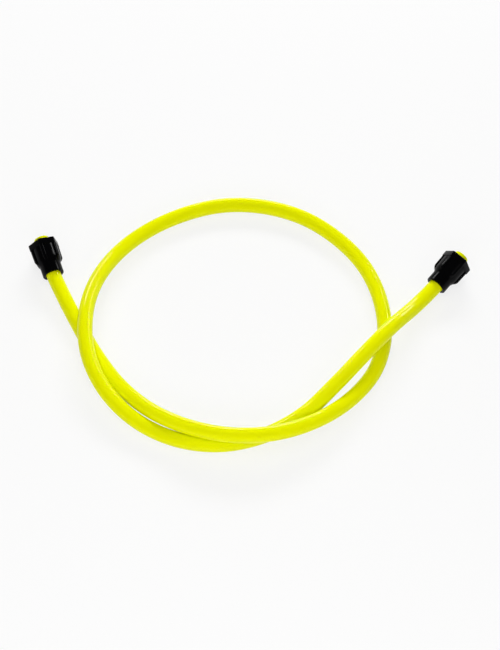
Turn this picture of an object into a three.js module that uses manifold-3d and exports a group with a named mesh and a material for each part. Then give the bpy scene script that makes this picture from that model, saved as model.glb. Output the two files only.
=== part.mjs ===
// A short yellow hose that lies in one loose coil, with a black coupling nut threaded over each end.
// Millimetres, +Z up. The hose lies on the plane z = 0, and the two nut mouths point away along +Y.
import * as THREE from 'three';
import { mergeVertices } from 'three/addons/utils/BufferGeometryUtils.js';
import Module from 'manifold-3d';

// Hose
const HOSE_DIAMETER = 14;
const HOSE_BORE = 10;
const HOSE_SIDES = 12;
const HOSE_STEPS = 76;

// Clearance between the hose and the rear hole of a nut, on the radius
const HOLE_CLEARANCE = 0.35;

// Nut, along its own axis from the rear face (0) to the mouth (NUT_LENGTH)
const NUT_LENGTH = 34;
const SLEEVE_RADIUS = 10;
const SLEEVE_LENGTH = 10;
const SLEEVE_ROUNDING = 0.8;
const SHOULDER_END = 16.5;
const BODY_RADIUS_REAR = 12.1;
const BODY_RADIUS_FRONT = 12.4;
const COLLAR_START = 28;
const COLLAR_ACROSS_FLATS = 25.6;
const COLLAR_CORNER_CUT = 0.2;
const COLLAR_CHAMFER = 0.5;
const RIB_COUNT = 6;
const RIB_WIDTH = 3.4;
const RIB_HEIGHT = 1.6;
const RIB_START = 12;
const THREAD_RADIUS = 10.5;
const THREAD_START = 16.5;
const SEAT_START = 10.5;
const MOUTH_CHAMFER = 0.4;
const HOLE_CHAMFER = 0.5;
const ROUND_SEGMENTS = 48;

// Height of a nut's lowest corner above the floor, so that it can turn without touching
const FLOOR_GAP = 0.15;

// Each nut: the place of the middle of its rear face, the compass bearing of its axis from +Y
// towards +X, the rise of the axis towards the mouth, the turn about its own axis, and how far the
// cut end of the hose stands out of the mouth.
const LEFT_NUT = {
  x: -182,
  y: 47.35,
  bearing: -19.8,
  rise: 8.5,
  turn: 16,
  hoseEnd: 5.3,
};
const RIGHT_NUT = {
  x: 174.3,
  y: 34.95,
  bearing: 40.8,
  rise: 8.5,
  turn: 12,
  hoseEnd: 5.3,
};

// Middle of the hose between the two nuts, from the left one to the right one.
// The hose runs on the floor at half its diameter and rises where it passes over itself.
const ROUTE = [
  [-175.5, 33, 9.3],
  [-158, -3, 7.3],
  [-139, -38.5, 7.2],
  [-116.5, -71.5, 8.5],
  [-88.5, -99.5, 12.7],
  [-54.5, -120, 18.4],
  [-16, -130.5, 21.5],
  [24, -127.5, 19.7],
  [60.5, -112, 15.2],
  [91.5, -87.5, 10.4],
  [115, -55, 7.5],
  [125, -16.5, 7.1],
  [122, 23.5, 7.1],
  [108, 61, 7.1],
  [83.5, 92.5, 7.0],
  [51.5, 116.5, 7.1],
  [13.5, 129.5, 7.0],
  [-26, 130.5, 7.1],
  [-64.5, 119, 7.1],
  [-98.5, 98, 8.4],
  [-125, 68.5, 12.5],
  [-142.5, 32.5, 17.8],
  [-149, -6.5, 21.5],
  [-145, -46, 19.9],
  [-127.5, -81.5, 13.8],
  [-99, -109.5, 8.9],
  [-63.5, -127, 7.2],
  [-24, -132, 7.1],
  [15, -122.5, 7.3],
  [49.5, -102.5, 10.1],
  [78.5, -76, 18.2],
  [105.5, -47, 24.0],
  [131, -16, 20.6],
  [156, 14, 11.4],
];

const degrees = THREE.MathUtils.degToRad;
const wasm = await Module();
wasm.setup();

// The rotation that takes a nut's own +Z to its axis.
function nutRotation(nut) {
  const aim = new THREE.Quaternion().setFromAxisAngle(new THREE.Vector3(0, 0, 1), -degrees(nut.bearing));
  const tip = new THREE.Quaternion().setFromAxisAngle(
    new THREE.Vector3(1, 0, 0),
    -degrees(90 - nut.rise),
  );
  const spin = new THREE.Quaternion().setFromAxisAngle(new THREE.Vector3(0, 0, 1), degrees(nut.turn));
  return aim.multiply(tip).multiply(spin);
}

// Distance from the axis to the collar's corners, a little cut off.
function collarCornerRadius() {
  const sharpCorner = COLLAR_ACROSS_FLATS / 2 / Math.cos(Math.PI / RIB_COUNT);
  return sharpCorner - COLLAR_CORNER_CUT;
}

// Where the middle of a nut's rear face is when the nut lies on the floor, whichever way it is turned.
function nutRear(nut) {
  const rise = degrees(nut.rise);
  const widest = [
    [0, SLEEVE_RADIUS],
    [SHOULDER_END, BODY_RADIUS_REAR + RIB_HEIGHT],
    [COLLAR_START, BODY_RADIUS_FRONT + RIB_HEIGHT],
    [COLLAR_START, collarCornerRadius()],
  ];
  const heights = widest.map(([along, radius]) => radius * Math.cos(rise) - along * Math.sin(rise));
  return new THREE.Vector3(nut.x, nut.y, Math.max(...heights) + FLOOR_GAP);
}

// A point on a nut's axis, at a distance from its rear face.
function alongNut(nut, distance) {
  const axis = new THREE.Vector3(0, 0, 1).applyQuaternion(nutRotation(nut));
  return nutRear(nut).addScaledVector(axis, distance);
}

// Joined-up triangles without the empty ones that a profile leaves where it meets its axis.
function toManifold(geometry) {
  const bare = geometry.clone();
  bare.deleteAttribute('normal');
  bare.deleteAttribute('uv');
  const merged = mergeVertices(bare, 1e-4);
  const index = merged.index.array;
  const kept = [];
  for (let i = 0; i < index.length; i += 3) {
    const a = index[i];
    const b = index[i + 1];
    const c = index[i + 2];
    if (a !== b && b !== c && c !== a) {
      kept.push(a, b, c);
    }
  }
  const mesh = new wasm.Mesh({
    numProp: 3,
    vertProperties: new Float32Array(merged.attributes.position.array),
    triVerts: new Uint32Array(kept),
  });
  return new wasm.Manifold(mesh);
}

function toGeometry(manifold) {
  const mesh = manifold.getMesh();
  const geometry = new THREE.BufferGeometry();
  geometry.setAttribute('position', new THREE.BufferAttribute(new Float32Array(mesh.vertProperties), 3));
  geometry.setIndex(new THREE.BufferAttribute(new Uint32Array(mesh.triVerts), 1));
  geometry.computeVertexNormals();
  return geometry;
}

// A profile of [radius, height] pairs turned about Z.
function turned(profile) {
  const points = profile.map(([radius, height]) => new THREE.Vector2(radius, height));
  return new THREE.LatheGeometry(points, ROUND_SEGMENTS).rotateX(Math.PI / 2);
}

// The collar's outline: a hexagon with its corners cut a little.
function collarShape() {
  const corner = collarCornerRadius();
  const halfCut = Math.PI / RIB_COUNT - Math.acos(COLLAR_ACROSS_FLATS / 2 / corner);
  const outline = [];
  for (let i = 0; i < RIB_COUNT; i += 1) {
    for (const side of [-1, 1]) {
      const angle = (2 * Math.PI * i) / RIB_COUNT + side * halfCut;
      outline.push(new THREE.Vector2(corner * Math.cos(angle), corner * Math.sin(angle)));
    }
  }
  return new THREE.Shape(outline);
}

// A quarter wave from 0 to 1, which gives the shoulder and the ribs their rounded start.
function quarterWave(share) {
  return Math.sin((share * Math.PI) / 2);
}

// Radius of the shoulder at a distance from the rear face.
function shoulderRadius(along) {
  const share = (along - SLEEVE_LENGTH) / (SHOULDER_END - SLEEVE_LENGTH);
  return SLEEVE_RADIUS + (BODY_RADIUS_REAR - SLEEVE_RADIUS) * quarterWave(share);
}

function nutGeometry() {
  const hole = HOSE_DIAMETER / 2 + HOLE_CLEARANCE;

  const shoulder = [0.25, 0.5, 0.75, 1].map((share) => {
    const along = SLEEVE_LENGTH + (SHOULDER_END - SLEEVE_LENGTH) * share;
    return [shoulderRadius(along), along];
  });
  const sleeveAndBody = turned([
    [0, 0],
    [SLEEVE_RADIUS - SLEEVE_ROUNDING, 0],
    [SLEEVE_RADIUS - SLEEVE_ROUNDING * 0.3, SLEEVE_ROUNDING * 0.3],
    [SLEEVE_RADIUS, SLEEVE_ROUNDING],
    [SLEEVE_RADIUS, SLEEVE_LENGTH],
    ...shoulder,
    [BODY_RADIUS_FRONT, COLLAR_START + COLLAR_CHAMFER],
    [0, COLLAR_START + COLLAR_CHAMFER],
  ]);
  let nut = toManifold(sleeveAndBody);

  // One rib seen from the side, drawn as radius and distance along, inside the wall at its foot
  const ribFoot = SLEEVE_RADIUS - SLEEVE_ROUNDING;
  const ribStart = [0, 0.3, 0.6, 1].map((share) => {
    const along = RIB_START + (SHOULDER_END - RIB_START) * share;
    return new THREE.Vector2(shoulderRadius(along) + RIB_HEIGHT * quarterWave(share), along);
  });
  const ribSide = new THREE.Shape([
    new THREE.Vector2(ribFoot, RIB_START),
    ...ribStart,
    new THREE.Vector2(BODY_RADIUS_FRONT + RIB_HEIGHT, COLLAR_START + COLLAR_CHAMFER),
    new THREE.Vector2(ribFoot, COLLAR_START + COLLAR_CHAMFER),
  ]);
  const rib = new THREE.ExtrudeGeometry(ribSide, { depth: RIB_WIDTH, bevelEnabled: false });
  rib.rotateX(Math.PI / 2);
  rib.translate(0, RIB_WIDTH / 2, 0);
  for (let i = 0; i < RIB_COUNT; i += 1) {
    const placed = rib.clone().rotateZ((2 * Math.PI * i) / RIB_COUNT);
    nut = nut.add(toManifold(placed));
  }

  const collar = new THREE.ExtrudeGeometry(collarShape(), {
    depth: NUT_LENGTH - COLLAR_START - 2 * COLLAR_CHAMFER,
    bevelEnabled: true,
    bevelThickness: COLLAR_CHAMFER,
    bevelSize: COLLAR_CHAMFER,
    bevelOffset: -COLLAR_CHAMFER,
    bevelSegments: 1,
  });
  collar.translate(0, 0, COLLAR_START + COLLAR_CHAMFER);
  nut = nut.add(toManifold(collar));

  // Rear hole, cone that squeezes the hose onto its spout, and the threaded mouth
  const hollow = turned([
    [0, -1],
    [hole + HOLE_CHAMFER + 1, -1],
    [hole, HOLE_CHAMFER],
    [hole, SEAT_START],
    [THREAD_RADIUS, THREAD_START],
    [THREAD_RADIUS, NUT_LENGTH - MOUTH_CHAMFER],
    [THREAD_RADIUS + MOUTH_CHAMFER + 1, NUT_LENGTH + 1],
    [0, NUT_LENGTH + 1],
  ]);
  nut = nut.subtract(toManifold(hollow));
  return toGeometry(nut);
}

function nutMesh(name, geometry, nut) {
  const material = new THREE.MeshStandardMaterial({ color: 0x14171a, roughness: 0.35, metalness: 0 });
  const mesh = new THREE.Mesh(geometry.clone(), material);
  mesh.name = name;
  mesh.position.copy(nutRear(nut));
  mesh.quaternion.copy(nutRotation(nut));
  return mesh;
}

function hoseMesh() {
  const left = LEFT_NUT;
  const right = RIGHT_NUT;
  const points = [
    alongNut(left, NUT_LENGTH + left.hoseEnd),
    alongNut(left, NUT_LENGTH / 2),
    alongNut(left, 0),
    ...ROUTE.map(([x, y, z]) => new THREE.Vector3(x, y, z)),
    alongNut(right, 0),
    alongNut(right, NUT_LENGTH / 2),
    alongNut(right, NUT_LENGTH + right.hoseEnd),
  ];
  const path = new THREE.CatmullRomCurve3(points, false, 'centripetal');
  const circle = (radius) => {
    const ring = [];
    for (let i = 0; i < HOSE_SIDES; i += 1) {
      const angle = (2 * Math.PI * i) / HOSE_SIDES;
      ring.push(new THREE.Vector2(radius * Math.cos(angle), radius * Math.sin(angle)));
    }
    return ring;
  };
  const section = new THREE.Shape(circle(HOSE_DIAMETER / 2));
  section.holes.push(new THREE.Path(circle(HOSE_BORE / 2)));
  const geometry = new THREE.ExtrudeGeometry(section, {
    steps: HOSE_STEPS,
    bevelEnabled: false,
    extrudePath: path,
  });
  const material = new THREE.MeshStandardMaterial({ color: 0xe9f500, roughness: 0.28, metalness: 0 });
  const mesh = new THREE.Mesh(geometry, material);
  mesh.name = 'hose';
  return mesh;
}

const nut = nutGeometry();
const part = new THREE.Group();
part.add(hoseMesh());
part.add(nutMesh('left_nut', nut, LEFT_NUT));
part.add(nutMesh('right_nut', nut, RIGHT_NUT));

export default part;
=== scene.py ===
"""A short yellow hose in a loose coil, with a black coupling nut on each end, on a pale floor."""

import math

import bpy
from mathutils import Matrix, Vector


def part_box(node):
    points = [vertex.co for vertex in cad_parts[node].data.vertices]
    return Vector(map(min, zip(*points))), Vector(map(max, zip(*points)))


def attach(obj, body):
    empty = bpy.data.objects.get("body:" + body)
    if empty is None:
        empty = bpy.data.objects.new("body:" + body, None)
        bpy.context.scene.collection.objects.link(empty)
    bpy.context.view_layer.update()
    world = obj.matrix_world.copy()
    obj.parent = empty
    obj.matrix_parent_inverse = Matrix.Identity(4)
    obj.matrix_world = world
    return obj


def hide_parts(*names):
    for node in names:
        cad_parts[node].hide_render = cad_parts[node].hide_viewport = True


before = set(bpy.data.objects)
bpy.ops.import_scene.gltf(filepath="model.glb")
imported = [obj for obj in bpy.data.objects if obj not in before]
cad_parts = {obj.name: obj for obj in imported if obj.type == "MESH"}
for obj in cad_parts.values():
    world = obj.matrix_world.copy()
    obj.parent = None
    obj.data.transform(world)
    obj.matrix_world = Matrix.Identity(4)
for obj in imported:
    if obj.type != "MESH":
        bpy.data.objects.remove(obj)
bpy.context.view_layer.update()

bl_info = {
    "name": "Coiled garden hose",
    "version": (1, 0, 0),
    "blender": (4, 5, 0),
    "location": "3D View > Sidebar > Hose",
    "description": "Builds a coiled yellow hose with its two coupling nuts and a plain studio",
    "category": "Object",
}

MM = 0.001

# Middle of the hose between the two nuts, from the left one to the right one, in metres.
ROUTE = (
    (-0.1755, 0.0330, 0.0093),
    (-0.1580, -0.0030, 0.0073),
    (-0.1390, -0.0385, 0.0072),
    (-0.1165, -0.0715, 0.0085),
    (-0.0885, -0.0995, 0.0127),
    (-0.0545, -0.1200, 0.0184),
    (-0.0160, -0.1305, 0.0215),
    (0.0240, -0.1275, 0.0197),
    (0.0605, -0.1120, 0.0152),
    (0.0915, -0.0875, 0.0104),
    (0.1150, -0.0550, 0.0075),
    (0.1250, -0.0165, 0.0071),
    (0.1220, 0.0235, 0.0071),
    (0.1080, 0.0610, 0.0071),
    (0.0835, 0.0925, 0.0070),
    (0.0515, 0.1165, 0.0071),
    (0.0135, 0.1295, 0.0070),
    (-0.0260, 0.1305, 0.0071),
    (-0.0645, 0.1190, 0.0071),
    (-0.0985, 0.0980, 0.0084),
    (-0.1250, 0.0685, 0.0125),
    (-0.1425, 0.0325, 0.0178),
    (-0.1490, -0.0065, 0.0215),
    (-0.1450, -0.0460, 0.0199),
    (-0.1275, -0.0815, 0.0138),
    (-0.0990, -0.1095, 0.0089),
    (-0.0635, -0.1270, 0.0072),
    (-0.0240, -0.1320, 0.0071),
    (0.0150, -0.1225, 0.0073),
    (0.0495, -0.1025, 0.0101),
    (0.0785, -0.0760, 0.0182),
    (0.1055, -0.0470, 0.0240),
    (0.1310, -0.0160, 0.0206),
    (0.1560, 0.0140, 0.0114),
)

# Each nut: the place of the middle of its rear face, the bearing of its axis from +Y towards +X, the
# rise of the axis towards the mouth, the turn about its own axis, and how far the hose stands out of
# the mouth. Its height is what it needs to lie on the floor.
NUTS = {
    "left_nut": {
        "place": (-0.1820, 0.04735),
        "bearing": -19.8,
        "rise": 8.5,
        "turn": 16.0,
        "hose_end": 0.0053,
    },
    "right_nut": {
        "place": (0.1743, 0.03495),
        "bearing": 40.8,
        "rise": 8.5,
        "turn": 12.0,
        "hose_end": 0.0053,
    },
}


def linear(hex_colour):
    """Turns an sRGB hex colour into the linear numbers that shaders and lamps take."""
    values = []
    for start in (1, 3, 5):
        value = int(hex_colour[start:start + 2], 16) / 255
        if value <= 0.04045:
            values.append(value / 12.92)
        else:
            values.append(((value + 0.055) / 1.055) ** 2.4)
    return tuple(values)


def length_property(name, description, default):
    """A size in metres that the user can change."""
    return bpy.props.FloatProperty(
        name=name,
        description=description,
        default=default,
        min=0.0,
        precision=5,
        subtype="DISTANCE",
        unit="LENGTH",
    )


def colour_property(name, description, hex_colour):
    """A colour that the user can change."""
    return bpy.props.FloatVectorProperty(
        name=name,
        description=description,
        default=linear(hex_colour),
        min=0.0,
        max=1.0,
        size=3,
        subtype="COLOR",
    )


class HoseSettings(bpy.types.PropertyGroup):
    diameter: length_property("Diameter", "Outside diameter of the hose", 0.014)
    bore: length_property("Bore", "Inside diameter of the hose", 0.010)
    cut_rounding: length_property("Cut rounding", "Rounding of the cut edges at both ends", 0.0003)
    ring_step: length_property("Ring step", "Distance between the rings of the outer wall", 0.003)
    sides: bpy.props.IntProperty(
        name="Sides",
        description="Number of faces around the hose",
        default=40,
        min=8,
    )
    colour: colour_property("Colour", "Colour of the hose", "#F5FB00")
    colour_worn: colour_property("Duller colour", "Colour of the slightly duller patches", "#F0F300")


class NutSettings(bpy.types.PropertyGroup):
    length: length_property("Length", "Length of the nut", 0.034)
    sleeve_radius: length_property("Sleeve radius", "Radius of the sleeve at the rear", 0.010)
    sleeve_length: length_property("Sleeve length", "Length of the sleeve", 0.010)
    sleeve_rounding: length_property("Sleeve rounding", "Rounding of the sleeve's rear edge", 0.0008)
    shoulder_end: length_property("Shoulder end", "Distance from the rear face to the body", 0.0165)
    body_rear: length_property("Body radius, rear", "Radius of the body at the shoulder", 0.0121)
    body_front: length_property("Body radius, front", "Radius of the body at the collar", 0.0124)
    collar_start: length_property("Collar start", "Distance from the rear face to the collar", 0.028)
    collar_flats: length_property("Collar flats", "Width of the collar across its flats", 0.0256)
    collar_cut: length_property("Collar corner cut", "What rounding takes off a collar corner", 0.0002)
    collar_chamfer: length_property("Collar chamfer", "Rounding of the collar's rims", 0.0005)
    rib_width: length_property("Rib width", "Width of one rib", 0.0034)
    rib_height: length_property("Rib height", "How far a rib stands out of the body", 0.0016)
    rib_start: length_property("Rib start", "Distance from the rear face to the ribs", 0.012)
    rib_rounding: length_property("Rib rounding", "Rounding of a rib's edges", 0.0009)
    seat_start: length_property("Seat start", "Distance from the rear face to the inner cone", 0.0105)
    thread_start: length_property("Thread start", "Distance from the rear face to the mouth", 0.0165)
    thread_radius: length_property("Thread radius", "Radius at the root of the thread", 0.0105)
    thread_pitch: length_property("Thread pitch", "Distance between two turns of thread", 0.0018)
    thread_depth: length_property("Thread depth", "Height of the thread's ridge", 0.0008)
    clearance: length_property("Clearance", "Gap between the hose and the rear hole", 0.00035)
    floor_gap: length_property("Floor gap", "Height of the lowest corner over the floor", 0.00015)
    colour: colour_property("Colour", "Colour of the nuts", "#030304")


class StageSettings(bpy.types.PropertyGroup):
    floor_radius: length_property("Floor radius", "Radius of the round floor", 20.0)
    camera_distance: length_property("Camera distance", "Distance from the camera to the hose", 1.8)
    floor_colour: colour_property("Floor colour", "Colour of the floor", "#F6F6F6")


def add_node(material, kind, settings=None, links=None):
    """Adds one node. Settings are its properties or input values; links are its inputs' sources."""
    node = material.node_tree.nodes.new(kind)
    for key, value in (settings or {}).items():
        if isinstance(key, int) or key in node.inputs:
            node.inputs[key].default_value = value
        else:
            setattr(node, key, value)
    for key, source in (links or {}).items():
        material.node_tree.links.new(source, node.inputs[key])
    return node


def new_material(name):
    """An empty material and its output node."""
    material = bpy.data.materials.new(name)
    material.use_nodes = True
    material.node_tree.nodes.clear()
    output = add_node(material, "ShaderNodeOutputMaterial")
    return material, output


def extruded_soft_pvc(settings):
    """Plasticised PVC, extruded: smooth, saturated to the edge, with faint lines along its length."""
    material, output = new_material("extruded_soft_pvc_yellow")
    section = add_node(material, "ShaderNodeAttribute", {"attribute_name": "section"})
    # Lines drawn by the die: 1 mm apart around the hose and about 90 mm long. Real ones are finer.
    die_lines_place = add_node(
        material,
        "ShaderNodeMapping",
        {"Scale": (1 / (1.0 * MM), 1 / (1.0 * MM), 1 / (90 * MM))},
        {"Vector": section.outputs["Vector"]},
    )
    die_lines = add_node(
        material,
        "ShaderNodeTexNoise",
        {"Scale": 1.0, "Detail": 2.0, "Roughness": 0.5},
        {"Vector": die_lines_place.outputs["Vector"]},
    )
    # Handling marks: patches of 12 mm around by 35 mm along where the gloss is duller
    patches_place = add_node(
        material,
        "ShaderNodeMapping",
        {"Scale": (1 / (12 * MM), 1 / (12 * MM), 1 / (35 * MM))},
        {"Vector": section.outputs["Vector"]},
    )
    patches = add_node(
        material,
        "ShaderNodeTexNoise",
        {"Scale": 1.0, "Detail": 4.0, "Roughness": 0.6},
        {"Vector": patches_place.outputs["Vector"]},
    )
    gloss = add_node(
        material,
        "ShaderNodeMapRange",
        {"From Min": 0.3, "From Max": 0.7, "To Min": 0.04, "To Max": 0.09},
        {"Value": patches.outputs["Fac"]},
    )
    colour = add_node(
        material,
        "ShaderNodeMix",
        {"data_type": "RGBA", 6: (*settings.colour, 1), 7: (*settings.colour_worn, 1)},
        {"Factor": patches.outputs["Fac"]},
    )
    lines = add_node(
        material,
        "ShaderNodeBump",
        {"Strength": 0.2, "Distance": 0.03 * MM},
        {"Height": die_lines.outputs["Fac"]},
    )
    # Mirrors far less than real PVC, which has a level of about 0.5, so that the colour stays saturated
    shader = add_node(
        material,
        "ShaderNodeBsdfPrincipled",
        {
            "IOR": 1.53,
            "Specular IOR Level": 0.08,
            "Subsurface Weight": 0.15,
            "Subsurface Scale": 0.002,
            "Subsurface Radius": (1.0, 1.0, 0.1),
        },
        {
            "Base Color": colour.outputs[2],
            "Roughness": gloss.outputs["Result"],
            "Normal": lines.outputs["Normal"],
        },
    )
    material.node_tree.links.new(shader.outputs["BSDF"], output.inputs["Surface"])
    return material


def moulded_black_nylon(settings):
    """Glass-filled nylon, injection moulded: near black, with a faint sheen and a fine mould grain."""
    material, output = new_material("moulded_black_nylon")
    place = add_node(material, "ShaderNodeTexCoord")
    # Mould grain: spots of 0.6 mm. The real grain is too fine to show.
    grain = add_node(
        material,
        "ShaderNodeTexNoise",
        {"Scale": 1 / (0.6 * MM), "Detail": 3.0, "Roughness": 0.6},
        {"Vector": place.outputs["Object"]},
    )
    # Handling: patches of 8 mm where the surface is a little more polished
    handling = add_node(
        material,
        "ShaderNodeTexNoise",
        {"Scale": 1 / (8 * MM), "Detail": 3.0, "Roughness": 0.55},
        {"Vector": place.outputs["Object"]},
    )
    gloss = add_node(
        material,
        "ShaderNodeMapRange",
        {"From Min": 0.3, "From Max": 0.7, "To Min": 0.12, "To Max": 0.2},
        {"Value": handling.outputs["Fac"]},
    )
    relief = add_node(
        material,
        "ShaderNodeBump",
        {"Strength": 0.2, "Distance": 0.006 * MM},
        {"Height": grain.outputs["Fac"]},
    )
    # Mirrors far less than real nylon, which has a level of about 0.5, so that the nuts stay black
    shader = add_node(
        material,
        "ShaderNodeBsdfPrincipled",
        {
            "Base Color": (*settings.colour, 1),
            "IOR": 1.53,
            "Specular IOR Level": 0.06,
        },
        {"Roughness": gloss.outputs["Result"], "Normal": relief.outputs["Normal"]},
    )
    material.node_tree.links.new(shader.outputs["BSDF"], output.inputs["Surface"])
    return material


def pale_floor(settings):
    """Matt white paper: seen almost white, and it keeps part of the object's shadow."""
    material, output = new_material("matt_white_paper")
    glow_share = 0.78
    paper = add_node(
        material,
        "ShaderNodeBsdfDiffuse",
        {"Color": (*settings.floor_colour, 1)},
    )
    glow = add_node(material, "ShaderNodeEmission", {"Color": (1, 1, 1, 1), "Strength": 1.0})
    rays = add_node(material, "ShaderNodeLightPath")
    seen = add_node(
        material,
        "ShaderNodeMath",
        {"operation": "MAXIMUM"},
        {0: rays.outputs["Is Camera Ray"], 1: rays.outputs["Is Glossy Ray"]},
    )
    seen_through = add_node(
        material,
        "ShaderNodeMath",
        {"operation": "MAXIMUM"},
        {0: seen.outputs[0], 1: rays.outputs["Is Transmission Ray"]},
    )
    share = add_node(
        material,
        "ShaderNodeMath",
        {"operation": "MULTIPLY", 1: glow_share},
        {0: seen_through.outputs[0]},
    )
    mix = add_node(
        material,
        "ShaderNodeMixShader",
        None,
        {0: share.outputs[0], 1: paper.outputs["BSDF"], 2: glow.outputs["Emission"]},
    )
    material.node_tree.links.new(mix.outputs["Shader"], output.inputs["Surface"])
    return material


def white_room():
    """A plain room: white near the horizon and darker overhead, the same for every kind of ray."""
    world = bpy.data.worlds.new("plain_white_room")
    world.use_nodes = True
    world.node_tree.nodes.clear()
    output = add_node(world, "ShaderNodeOutputWorld")
    place = add_node(world, "ShaderNodeTexCoord")
    parts = add_node(
        world,
        "ShaderNodeSeparateXYZ",
        None,
        {"Vector": place.outputs["Generated"]},
    )
    strength = add_node(
        world,
        "ShaderNodeMapRange",
        {"From Min": 0.03, "From Max": 0.35, "To Min": 1.0, "To Max": 0.12},
        {"Value": parts.outputs["Z"]},
    )
    background = add_node(
        world,
        "ShaderNodeBackground",
        {"Color": (1, 1, 1, 1)},
        {"Strength": strength.outputs["Result"]},
    )
    world.node_tree.links.new(background.outputs["Background"], output.inputs["Surface"])
    return world


def deselect_all():
    """Leaves edit mode and selects nothing."""
    active = bpy.context.view_layer.objects.active
    if active and active.mode != "OBJECT":
        bpy.ops.object.mode_set(mode="OBJECT")
    bpy.ops.object.select_all(action="DESELECT")


def make_active(piece):
    """Selects one object and nothing else."""
    deselect_all()
    piece.select_set(True)
    bpy.context.view_layer.objects.active = piece


def select_parts(piece, mode, wanted):
    """In edit mode, selects the vertices, edges or faces for which the test is true."""
    bpy.ops.mesh.select_mode(type=mode)
    bpy.ops.mesh.select_all(action="DESELECT")
    bpy.ops.object.mode_set(mode="OBJECT")
    mesh = piece.data
    parts = {"VERT": mesh.vertices, "EDGE": mesh.edges, "FACE": mesh.polygons}[mode]
    for part in parts:
        part.select = wanted(part)
    bpy.ops.object.mode_set(mode="EDIT")


def apply_modifier(piece, kind, settings):
    """Adds one modifier to a piece and applies it."""
    make_active(piece)
    modifier = piece.modifiers.new(kind.lower(), kind)
    for key, value in settings.items():
        setattr(modifier, key, value)
    bpy.ops.object.modifier_apply(modifier=modifier.name)


def combine(piece, other, operation):
    """Joins another solid to a piece or cuts it away, and removes the other solid."""
    apply_modifier(piece, "BOOLEAN", {"object": other, "operation": operation, "solver": "EXACT"})
    bpy.data.objects.remove(other)


def lathe_solid(name, profile, segments=96):
    """A closed solid of revolution, drawn ring by ring from a list of radii and heights."""
    deselect_all()
    radius, height = profile[0]
    bpy.ops.mesh.primitive_circle_add(
        vertices=segments,
        radius=radius,
        fill_type="NGON",
        location=(0, 0, height),
    )
    piece = bpy.context.object
    piece.name = name
    bpy.ops.object.transform_apply(location=True, rotation=True, scale=True)
    bpy.ops.object.mode_set(mode="EDIT")
    bpy.ops.mesh.select_all(action="SELECT")
    for next_radius, next_height in profile[1:]:
        bpy.ops.mesh.extrude_region_move(
            TRANSFORM_OT_translate={"value": (0, 0, next_height - height)}
        )
        scale = next_radius / radius
        bpy.ops.transform.resize(value=(scale, scale, 1), center_override=(0, 0, next_height))
        radius, height = next_radius, next_height
    bpy.ops.mesh.select_all(action="SELECT")
    bpy.ops.mesh.normals_make_consistent(inside=False)
    bpy.ops.object.mode_set(mode="OBJECT")
    return piece


def arc(centre, radius, start, end, steps=4):
    """Points of a profile on a quarter or less of a circle, angles in degrees."""
    points = []
    for step in range(steps + 1):
        angle = math.radians(start + (end - start) * step / steps)
        points.append((centre[0] + radius * math.cos(angle), centre[1] + radius * math.sin(angle)))
    return points


def quarter_wave(share):
    """A quarter wave from 0 to 1: the rounded start of the shoulder and of the ribs."""
    return math.sin(share * math.pi / 2)


def shoulder_radius(size, along):
    """Radius of the shoulder at a distance from the rear face."""
    share = (along - size["sleeve_length"]) / (size["shoulder_end"] - size["sleeve_length"])
    return size["sleeve_radius"] + (size["body_rear"] - size["sleeve_radius"]) * quarter_wave(share)


def nut_body(size):
    """The sleeve, the rounded shoulder and the slightly conical body."""
    rounding = size["sleeve_rounding"]
    before_shoulder = 0.35
    steps = 8
    profile = arc((size["sleeve_radius"] - rounding, rounding), rounding, -90, 0)
    profile.append((size["sleeve_radius"], size["sleeve_length"] - before_shoulder))
    for step in range(1, steps + 1):
        share = step / steps
        along = size["sleeve_length"] + (size["shoulder_end"] - size["sleeve_length"]) * share
        profile.append((shoulder_radius(size, along), along))
    profile.append((size["body_front"], size["collar_start"] + 2 * size["collar_chamfer"]))
    return lathe_solid("nut_body", profile)


def rib_profile(size):
    """The outer line of a rib, from where it leaves the shoulder to where it enters the collar."""
    points = []
    for share in (0.0, 0.15, 0.3, 0.45, 0.6, 0.8, 1.0):
        along = size["rib_start"] + (size["shoulder_end"] - size["rib_start"]) * share
        radius = shoulder_radius(size, along) + size["rib_height"] * quarter_wave(share)
        points.append((radius, along))
    points.append(
        (size["body_front"] + size["rib_height"], size["collar_start"] + 2 * size["collar_chamfer"])
    )
    return points


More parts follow.
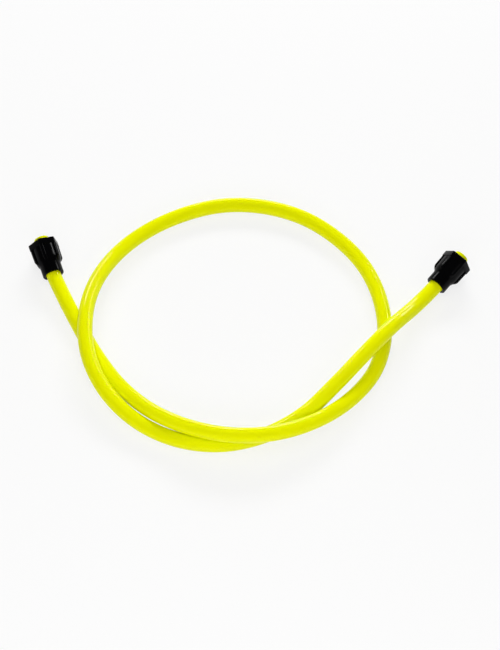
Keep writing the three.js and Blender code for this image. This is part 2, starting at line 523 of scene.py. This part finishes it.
def nut_ribs(size):
    """Six ribs along the body. One is cut from a block along its profile and turned round the axis."""
    deselect_all()
    profile = rib_profile(size)
    foot = size["sleeve_radius"] - size["sleeve_rounding"]
    top = profile[-1][0]
    start = profile[0][1] - size["rib_height"]
    end = profile[-1][1]
    bpy.ops.mesh.primitive_cube_add(
        size=1,
        location=((foot + top) / 2, 0, (start + end) / 2),
        scale=(top - foot, size["rib_width"], end - start),
    )
    rib = bpy.context.object
    rib.name = "nut_ribs"
    bpy.ops.object.transform_apply(location=True, rotation=True, scale=True)
    bpy.ops.object.mode_set(mode="EDIT")
    for (radius, along), (next_radius, next_along) in zip(profile, profile[1:]):
        outward = Vector((next_along - along, 0, radius - next_radius)).normalized()
        bpy.ops.mesh.select_all(action="SELECT")
        bpy.ops.mesh.bisect(
            plane_co=(radius, 0, along),
            plane_no=outward,
            use_fill=True,
            clear_outer=True,
            threshold=0.0001,
        )
    bpy.ops.object.mode_set(mode="OBJECT")
    # Only the two long edges are rounded, which are those between the top and the sides
    make_active(rib)
    bpy.ops.object.mode_set(mode="EDIT")
    side = size["rib_width"] / 2
    tolerance = 1e-3

    def on_top_edge(edge):
        ends = [rib.data.vertices[index].co for index in edge.vertices]
        along_side = all(abs(abs(end.y) - side) < tolerance for end in ends)
        same_side = ends[0].y * ends[1].y > 0
        return along_side and same_side and all(end.x > foot + tolerance for end in ends)

    select_parts(rib, "EDGE", on_top_edge)
    bpy.ops.mesh.bevel(offset=size["rib_rounding"], segments=5, affect="EDGES")
    bpy.ops.mesh.select_mode(type="VERT")
    bpy.ops.mesh.select_all(action="SELECT")
    for _ in range(5):
        bpy.ops.mesh.duplicate()
        bpy.ops.transform.rotate(
            value=math.radians(60),
            orient_axis="Z",
            center_override=(0, 0, 0),
        )
    bpy.ops.object.mode_set(mode="OBJECT")
    return rib


def collar_sharp_radius(size):
    """Distance from the axis to the corners that the collar's flats would make if left sharp."""
    return size["collar_flats"] / 2 / math.cos(math.radians(30))


def nut_collar(size):
    """The hexagonal collar, its six corners and then its two rims rounded."""
    deselect_all()
    depth = size["length"] - size["collar_start"]
    bpy.ops.mesh.primitive_cylinder_add(
        vertices=6,
        radius=collar_sharp_radius(size),
        depth=depth,
        location=(0, 0, size["collar_start"] + depth / 2),
        rotation=(0, 0, math.radians(30)),
    )
    collar = bpy.context.object
    collar.name = "nut_collar"
    bpy.ops.object.transform_apply(location=True, rotation=True, scale=True)
    bpy.ops.object.mode_set(mode="EDIT")

    def along_axis(edge):
        ends = [collar.data.vertices[index].co for index in edge.vertices]
        return abs(ends[0].z - ends[1].z) > depth / 2

    select_parts(collar, "EDGE", along_axis)
    # A round corner that takes this much off the tip starts this far from it on each flat
    corner_radius = size["collar_cut"] / (1 / math.cos(math.radians(30)) - 1)
    bpy.ops.mesh.bevel(
        offset=corner_radius * math.tan(math.radians(30)),
        segments=6,
        affect="EDGES",
    )
    bpy.ops.object.mode_set(mode="OBJECT")
    apply_modifier(
        collar,
        "BEVEL",
        {
            "width": size["collar_chamfer"],
            "segments": 4,
            "limit_method": "ANGLE",
            "angle_limit": math.radians(60),
        },
    )
    return collar


def nut_hollow(size, hose_radius):
    """What is cut out: the rear hole, the cone that grips the hose, and the mouth."""
    hole = hose_radius + size["clearance"]
    thread = size["thread_radius"]
    length = size["length"]
    # Both openings widen towards the face, and the cutter goes on past it
    lead_in = 0.5
    past_face = 1.0
    flare = 1.7
    step = 0.3
    profile = [
        (hole + flare, -past_face),
        (hole + lead_in, 0.0),
        (hole + 0.15, 0.2),
        (hole, 0.55),
        (hole, size["seat_start"]),
        (thread - 0.2, size["thread_start"] - step),
        (thread, size["thread_start"] + step),
        (thread, length - 0.7),
        (thread + 0.12, length - 0.35),
        (thread + lead_in, length),
        (thread + flare, length + past_face),
    ]
    return lathe_solid("nut_hollow", profile)


def nut_thread(size):
    """The ridge of the thread inside the mouth: a tooth with sloping sides, wound as a screw."""
    deselect_all()
    sunk_in_wall = 0.3
    first_tooth = 2.5
    turns = 6.0
    steps_per_turn = 48
    root = size["thread_radius"] + sunk_in_wall
    crest = size["thread_radius"] - size["thread_depth"]
    start = size["thread_start"] + first_tooth
    half_root = size["thread_pitch"] * 0.42
    half_crest = size["thread_pitch"] * 0.12
    bpy.ops.mesh.primitive_plane_add(size=1, location=(0, 0, 0))
    tooth = bpy.context.object
    tooth.name = "nut_thread"
    corners = (
        (root, 0, start - half_root),
        (root, 0, start + half_root),
        (crest, 0, start - half_crest),
        (crest, 0, start + half_crest),
    )
    for vertex, corner in zip(tooth.data.vertices, corners):
        vertex.co = corner
    apply_modifier(
        tooth,
        "SCREW",
        {
            "angle": math.radians(360 * turns),
            "screw_offset": size["thread_pitch"] * turns,
            "steps": int(steps_per_turn * turns),
            "render_steps": int(steps_per_turn * turns),
            "use_merge_vertices": False,
        },
    )
    make_active(tooth)
    bpy.ops.object.mode_set(mode="EDIT")
    bpy.ops.mesh.select_all(action="SELECT")
    bpy.ops.mesh.fill_holes(sides=4)
    bpy.ops.mesh.normals_make_consistent(inside=False)
    bpy.ops.object.mode_set(mode="OBJECT")
    return tooth


def nut_size():
    """The nut's sizes in metres, by name."""
    settings = bpy.context.scene.hose_nuts
    return {key: getattr(settings, key) for key in NutSettings.__annotations__ if key != "colour"}


def nut_rear(nut, size):
    """Where the middle of a nut's rear face is when the nut lies on the floor, however it is turned."""
    rise = math.radians(nut["rise"])
    widest = (
        (0.0, size["sleeve_radius"]),
        (size["shoulder_end"], size["body_rear"] + size["rib_height"]),
        (size["collar_start"], size["body_front"] + size["rib_height"]),
        (size["collar_start"], collar_sharp_radius(size) - size["collar_cut"]),
    )
    heights = [radius * math.cos(rise) - along * math.sin(rise) for along, radius in widest]
    return Vector((*nut["place"], max(heights) + size["floor_gap"]))


def nut_matrix(nut):
    """The place of a nut: its own +Z axis is laid along the hose."""
    return (
        Matrix.Translation(nut_rear(nut, nut_size()))
        @ Matrix.Rotation(-math.radians(nut["bearing"]), 4, "Z")
        @ Matrix.Rotation(-math.radians(90 - nut["rise"]), 4, "X")
        @ Matrix.Rotation(math.radians(nut["turn"]), 4, "Z")
    )


def along_nut(nut, distance):
    """A point on a nut's axis, at a distance from its rear face."""
    return nut_matrix(nut) @ Vector((0, 0, distance))


def route_points(length):
    """Every point that the middle of the hose passes through, from one cut end to the other."""
    left = NUTS["left_nut"]
    right = NUTS["right_nut"]
    points = [along_nut(left, length + left["hose_end"]), along_nut(left, length / 2)]
    points.append(along_nut(left, 0))
    points.extend(Vector(point) for point in ROUTE)
    points.append(along_nut(right, 0))
    points.append(along_nut(right, length / 2))
    points.append(along_nut(right, length + right["hose_end"]))
    return points


def smooth_line(points, pieces=40):
    """A centripetal Catmull-Rom curve through the points."""
    ends = [points[0] * 2 - points[1], *points, points[-1] * 2 - points[-2]]
    line = []
    for before, start, end, after in zip(ends, ends[1:], ends[2:], ends[3:]):
        t0 = (start - before).length ** 0.5
        t1 = (end - start).length ** 0.5
        t2 = (after - end).length ** 0.5
        leave = ((start - before) / t0 - (end - before) / (t0 + t1) + (end - start) / t1) * t1
        arrive = ((end - start) / t1 - (after - start) / (t1 + t2) + (after - end) / t2) * t1
        for piece in range(pieces):
            t = piece / pieces
            line.append(
                (2 * t**3 - 3 * t**2 + 1) * start
                + (t**3 - 2 * t**2 + t) * leave
                + (-2 * t**3 + 3 * t**2) * end
                + (t**3 - t**2) * arrive
            )
    line.append(points[-1].copy())
    return line


class Centreline:
    """The middle of the hose as a function of the distance from its left end."""

    def __init__(self, points):
        self.line = smooth_line(points)
        self.distance = [0.0]
        for start, end in zip(self.line, self.line[1:]):
            self.distance.append(self.distance[-1] + (end - start).length)
        self.length = self.distance[-1]
        self.sides = [self.first_side()]
        for start, end in zip(self.line[:-2], self.line[1:-1]):
            self.sides.append(self.carried(self.sides[-1], end, start))
        self.sides.append(self.sides[-1])

    def first_side(self):
        """A level direction across the left end of the hose."""
        along = (self.line[1] - self.line[0]).normalized()
        side = Vector((0, 0, 1)).cross(along)
        return side.normalized()

    def carried(self, side, end, start):
        """The same side one step further on, so that the hose doesn't twist."""
        along = (end - start).normalized()
        return (side - along * side.dot(along)).normalized()

    def at(self, distance):
        """The point, the direction along the hose and the direction to its first side."""
        distance = min(max(distance, 0.0), self.length)
        low, high = 0, len(self.distance) - 1
        while high - low > 1:
            middle = (low + high) // 2
            if self.distance[middle] <= distance:
                low = middle
            else:
                high = middle
        share = (distance - self.distance[low]) / (self.distance[high] - self.distance[low])
        point = self.line[low].lerp(self.line[high], share)
        before = self.line[max(low - 1, 0)]
        after = self.line[min(high + 1, len(self.line) - 1)]
        along = (after - before).normalized()
        side = self.sides[low].lerp(self.sides[high], share)
        side = (side - along * side.dot(along)).normalized()
        return point, along, side


def hose_tube(settings, centreline):
    """The hollow tube as rings around its middle, with rounded cuts at both ends."""
    outer = settings.diameter / 2
    inner = settings.bore / 2
    lip = settings.cut_rounding
    length = centreline.length
    count = round((length - 2 * lip) / settings.ring_step)
    stations = [lip + (length - 2 * lip) * step / count for step in range(count + 1)]
    # The bore is seen less than the outside, so it has a third of the rings
    inner_stations = stations[::3]
    if inner_stations[-1] != stations[-1]:
        inner_stations.append(stations[-1])
    # Middle of a rounded edge: about 1 - sin(45 degrees) of its radius
    eased = lip * 0.3
    rings = [(0.0, inner + lip), (0.0, outer - lip), (eased, outer - eased)]
    rings += [(station, outer) for station in stations]
    rings += [(length - eased, outer - eased), (length, outer - lip), (length, inner + lip)]
    rings += [(length - eased, inner + eased)]
    rings += [(station, inner) for station in reversed(inner_stations)]
    rings += [(eased, inner + eased)]
    vertices = []
    sections = []
    sides = settings.sides
    for distance, radius in rings:
        point, along, side = centreline.at(distance)
        up = along.cross(side)
        for index in range(sides):
            angle = 2 * math.pi * index / sides
            across = math.cos(angle) * radius
            above = math.sin(angle) * radius
            vertices.append(point + side * across + up * above)
            sections.append((across, above, distance))
    faces = []
    for ring in range(len(rings)):
        following = (ring + 1) % len(rings)
        for index in range(sides):
            beside = (index + 1) % sides
            faces.append(
                (
                    ring * sides + index,
                    following * sides + index,
                    following * sides + beside,
                    ring * sides + beside,
                )
            )
    mesh = bpy.data.meshes.new("hose_tube")
    mesh.from_pydata(vertices, [], faces)
    section = mesh.attributes.new("section", "FLOAT_VECTOR", "POINT")
    for index, value in enumerate(sections):
        section.data[index].vector = value
    mesh.update()
    tube = bpy.data.objects.new("hose_tube", mesh)
    bpy.context.scene.collection.objects.link(tube)
    path = [centreline.at(distance)[0] for distance in (0.0, *stations, length)]
    return tube, path


class HOSE_OT_add_nuts(bpy.types.Operator):
    """Model the coupling nut once and put a copy of it on each end of the hose"""

    bl_idname = "hose.add_nuts"
    bl_label = "Add the two nuts"

    def execute(self, context):
        settings = context.scene.hose_nuts
        hose_radius = context.scene.hose_tube.diameter / 2 / MM
        # Modelled in millimetres, since edit tools lose detail on a thing this small in metres
        size = {key: value / MM for key, value in nut_size().items()}
        nut = nut_body(size)
        combine(nut, nut_ribs(size), "UNION")
        combine(nut, nut_collar(size), "UNION")
        combine(nut, nut_hollow(size, hose_radius), "DIFFERENCE")
        combine(nut, nut_thread(size), "UNION")
        make_active(nut)
        bpy.ops.object.mode_set(mode="EDIT")
        bpy.ops.mesh.select_all(action="SELECT")
        bpy.ops.mesh.remove_doubles(threshold=0.0005)
        bpy.ops.object.mode_set(mode="OBJECT")
        bpy.ops.object.shade_smooth_by_angle(angle=math.radians(32))
        material = moulded_black_nylon(settings)
        for node, place in NUTS.items():
            copy = nut.copy()
            copy.data = nut.data.copy()
            copy.name = node + "_moulded"
            context.scene.collection.objects.link(copy)
            copy.data.transform(nut_matrix(place) @ Matrix.Scale(MM, 4))
            copy.data.materials.clear()
            copy.data.materials.append(material)
            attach(copy, node)
            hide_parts(node)
        bpy.data.objects.remove(nut)
        return {"FINISHED"}


class HOSE_OT_add_hose(bpy.types.Operator):
    """Lay the hollow hose along its route, from the left cut end to the right one"""

    bl_idname = "hose.add_hose"
    bl_label = "Add the hose"

    def execute(self, context):
        settings = context.scene.hose_tube
        centreline = Centreline(route_points(context.scene.hose_nuts.length))
        tube, path = hose_tube(settings, centreline)
        make_active(tube)
        bpy.ops.object.shade_smooth_by_angle(angle=math.radians(40))
        tube.data.materials.append(extruded_soft_pvc(settings))
        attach(tube, "hose")
        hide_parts("hose")
        return {"FINISHED"}


def add_softbox(name, place, target, width, height, power, shades=True, glints=True):
    """Adds a rectangular lamp that faces a point and gives soft light, highlights or both."""
    lamp = bpy.data.lights.new(name, "AREA")
    lamp.shape = "RECTANGLE"
    lamp.size = width
    lamp.size_y = height
    lamp.energy = power
    softbox = bpy.data.objects.new(name, lamp)
    bpy.context.scene.collection.objects.link(softbox)
    softbox.location = place
    softbox.rotation_euler = (Vector(target) - Vector(place)).to_track_quat("-Z", "Y").to_euler()
    softbox.visible_camera = False
    softbox.visible_diffuse = shades
    softbox.visible_glossy = glints


class HOSE_OT_add_stage(bpy.types.Operator):
    """Add the pale floor, the lamps, the plain room and the camera"""

    bl_idname = "hose.add_stage"
    bl_label = "Add the floor, lamps and camera"

    def execute(self, context):
        settings = context.scene.hose_stage
        under_hose = 0.0002
        deselect_all()
        bpy.ops.mesh.primitive_circle_add(
            vertices=96,
            radius=settings.floor_radius,
            fill_type="NGON",
            location=(0, 0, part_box("hose")[0].z - under_hose),
        )
        floor = context.object
        floor.name = "paper_floor"
        floor.data.materials.append(pale_floor(settings))

        # Name, place, target, width, height and power in watts. Three lamps give soft light and three
        # give highlights, so that either can be set without the other.
        middle = (0, 0, 0)
        add_softbox("softbox_behind", (0.2, 1.9, 1.1), middle, 1.4, 0.5, 35, glints=False)
        add_softbox("softbox_above", (-0.2, -0.25, 1.6), middle, 1.4, 1.4, 8.6, glints=False)
        add_softbox("softbox_front", (0.0, -1.0, 0.6), middle, 1.2, 0.4, 5, glints=False)
        add_softbox("window_behind", (0.0, 2.2, 0.6), middle, 0.8, 0.4, 22, shades=False)
        add_softbox("strip_left", (-0.55, 1.07, 0.72), (0.18, 0.05, 0), 0.5, 0.2, 7.5, shades=False)
        add_softbox("strip_right", (0.76, 0.88, 0.65), (-0.18, 0.05, 0), 0.5, 0.2, 5.2, shades=False)
        context.scene.world = white_room()

        # Seen from the front, 57 degrees above the floor, through a long lens
        elevation = math.radians(57)
        target = Vector((0.00145, -0.00575, 0.007))
        lens = bpy.data.cameras.new("camera")
        lens.sensor_width = 36.0
        lens.lens = 108.2
        lens.clip_end = 100.0
        camera = bpy.data.objects.new("camera", lens)
        context.scene.collection.objects.link(camera)
        away = Vector((0, -math.cos(elevation), math.sin(elevation)))
        camera.location = target + away * settings.camera_distance
        camera.rotation_euler = (math.pi / 2 - elevation, 0, 0)
        context.scene.camera = camera
        context.scene.view_settings.view_transform = "Standard"
        return {"FINISHED"}


class HOSE_PT_panel(bpy.types.Panel):
    """Lists the steps that build the hose"""

    bl_idname = "HOSE_PT_panel"
    bl_label = "Garden hose"
    bl_space_type = "VIEW_3D"
    bl_region_type = "UI"
    bl_category = "Hose"

    def draw(self, context):
        for group in (
            context.scene.hose_tube,
            context.scene.hose_nuts,
            context.scene.hose_stage,
        ):
            column = self.layout.column()
            for key in type(group).__annotations__:
                column.prop(group, key)
        for operator in (HOSE_OT_add_nuts, HOSE_OT_add_hose, HOSE_OT_add_stage):
            self.layout.operator(operator.bl_idname)


CLASSES = (
    HoseSettings,
    NutSettings,
    StageSettings,
    HOSE_OT_add_nuts,
    HOSE_OT_add_hose,
    HOSE_OT_add_stage,
    HOSE_PT_panel,
)


def register():
    for group in CLASSES:
        bpy.utils.register_class(group)
    bpy.types.Scene.hose_tube = bpy.props.PointerProperty(type=HoseSettings)
    bpy.types.Scene.hose_nuts = bpy.props.PointerProperty(type=NutSettings)
    bpy.types.Scene.hose_stage = bpy.props.PointerProperty(type=StageSettings)


def unregister():
    del bpy.types.Scene.hose_stage
    del bpy.types.Scene.hose_nuts
    del bpy.types.Scene.hose_tube
    for group in reversed(CLASSES):
        bpy.utils.unregister_class(group)


def main():
    """Builds everything in order."""
    register()
    bpy.ops.hose.add_nuts()
    bpy.ops.hose.add_hose()
    bpy.ops.hose.add_stage()


if __name__ == "__main__":
    main()
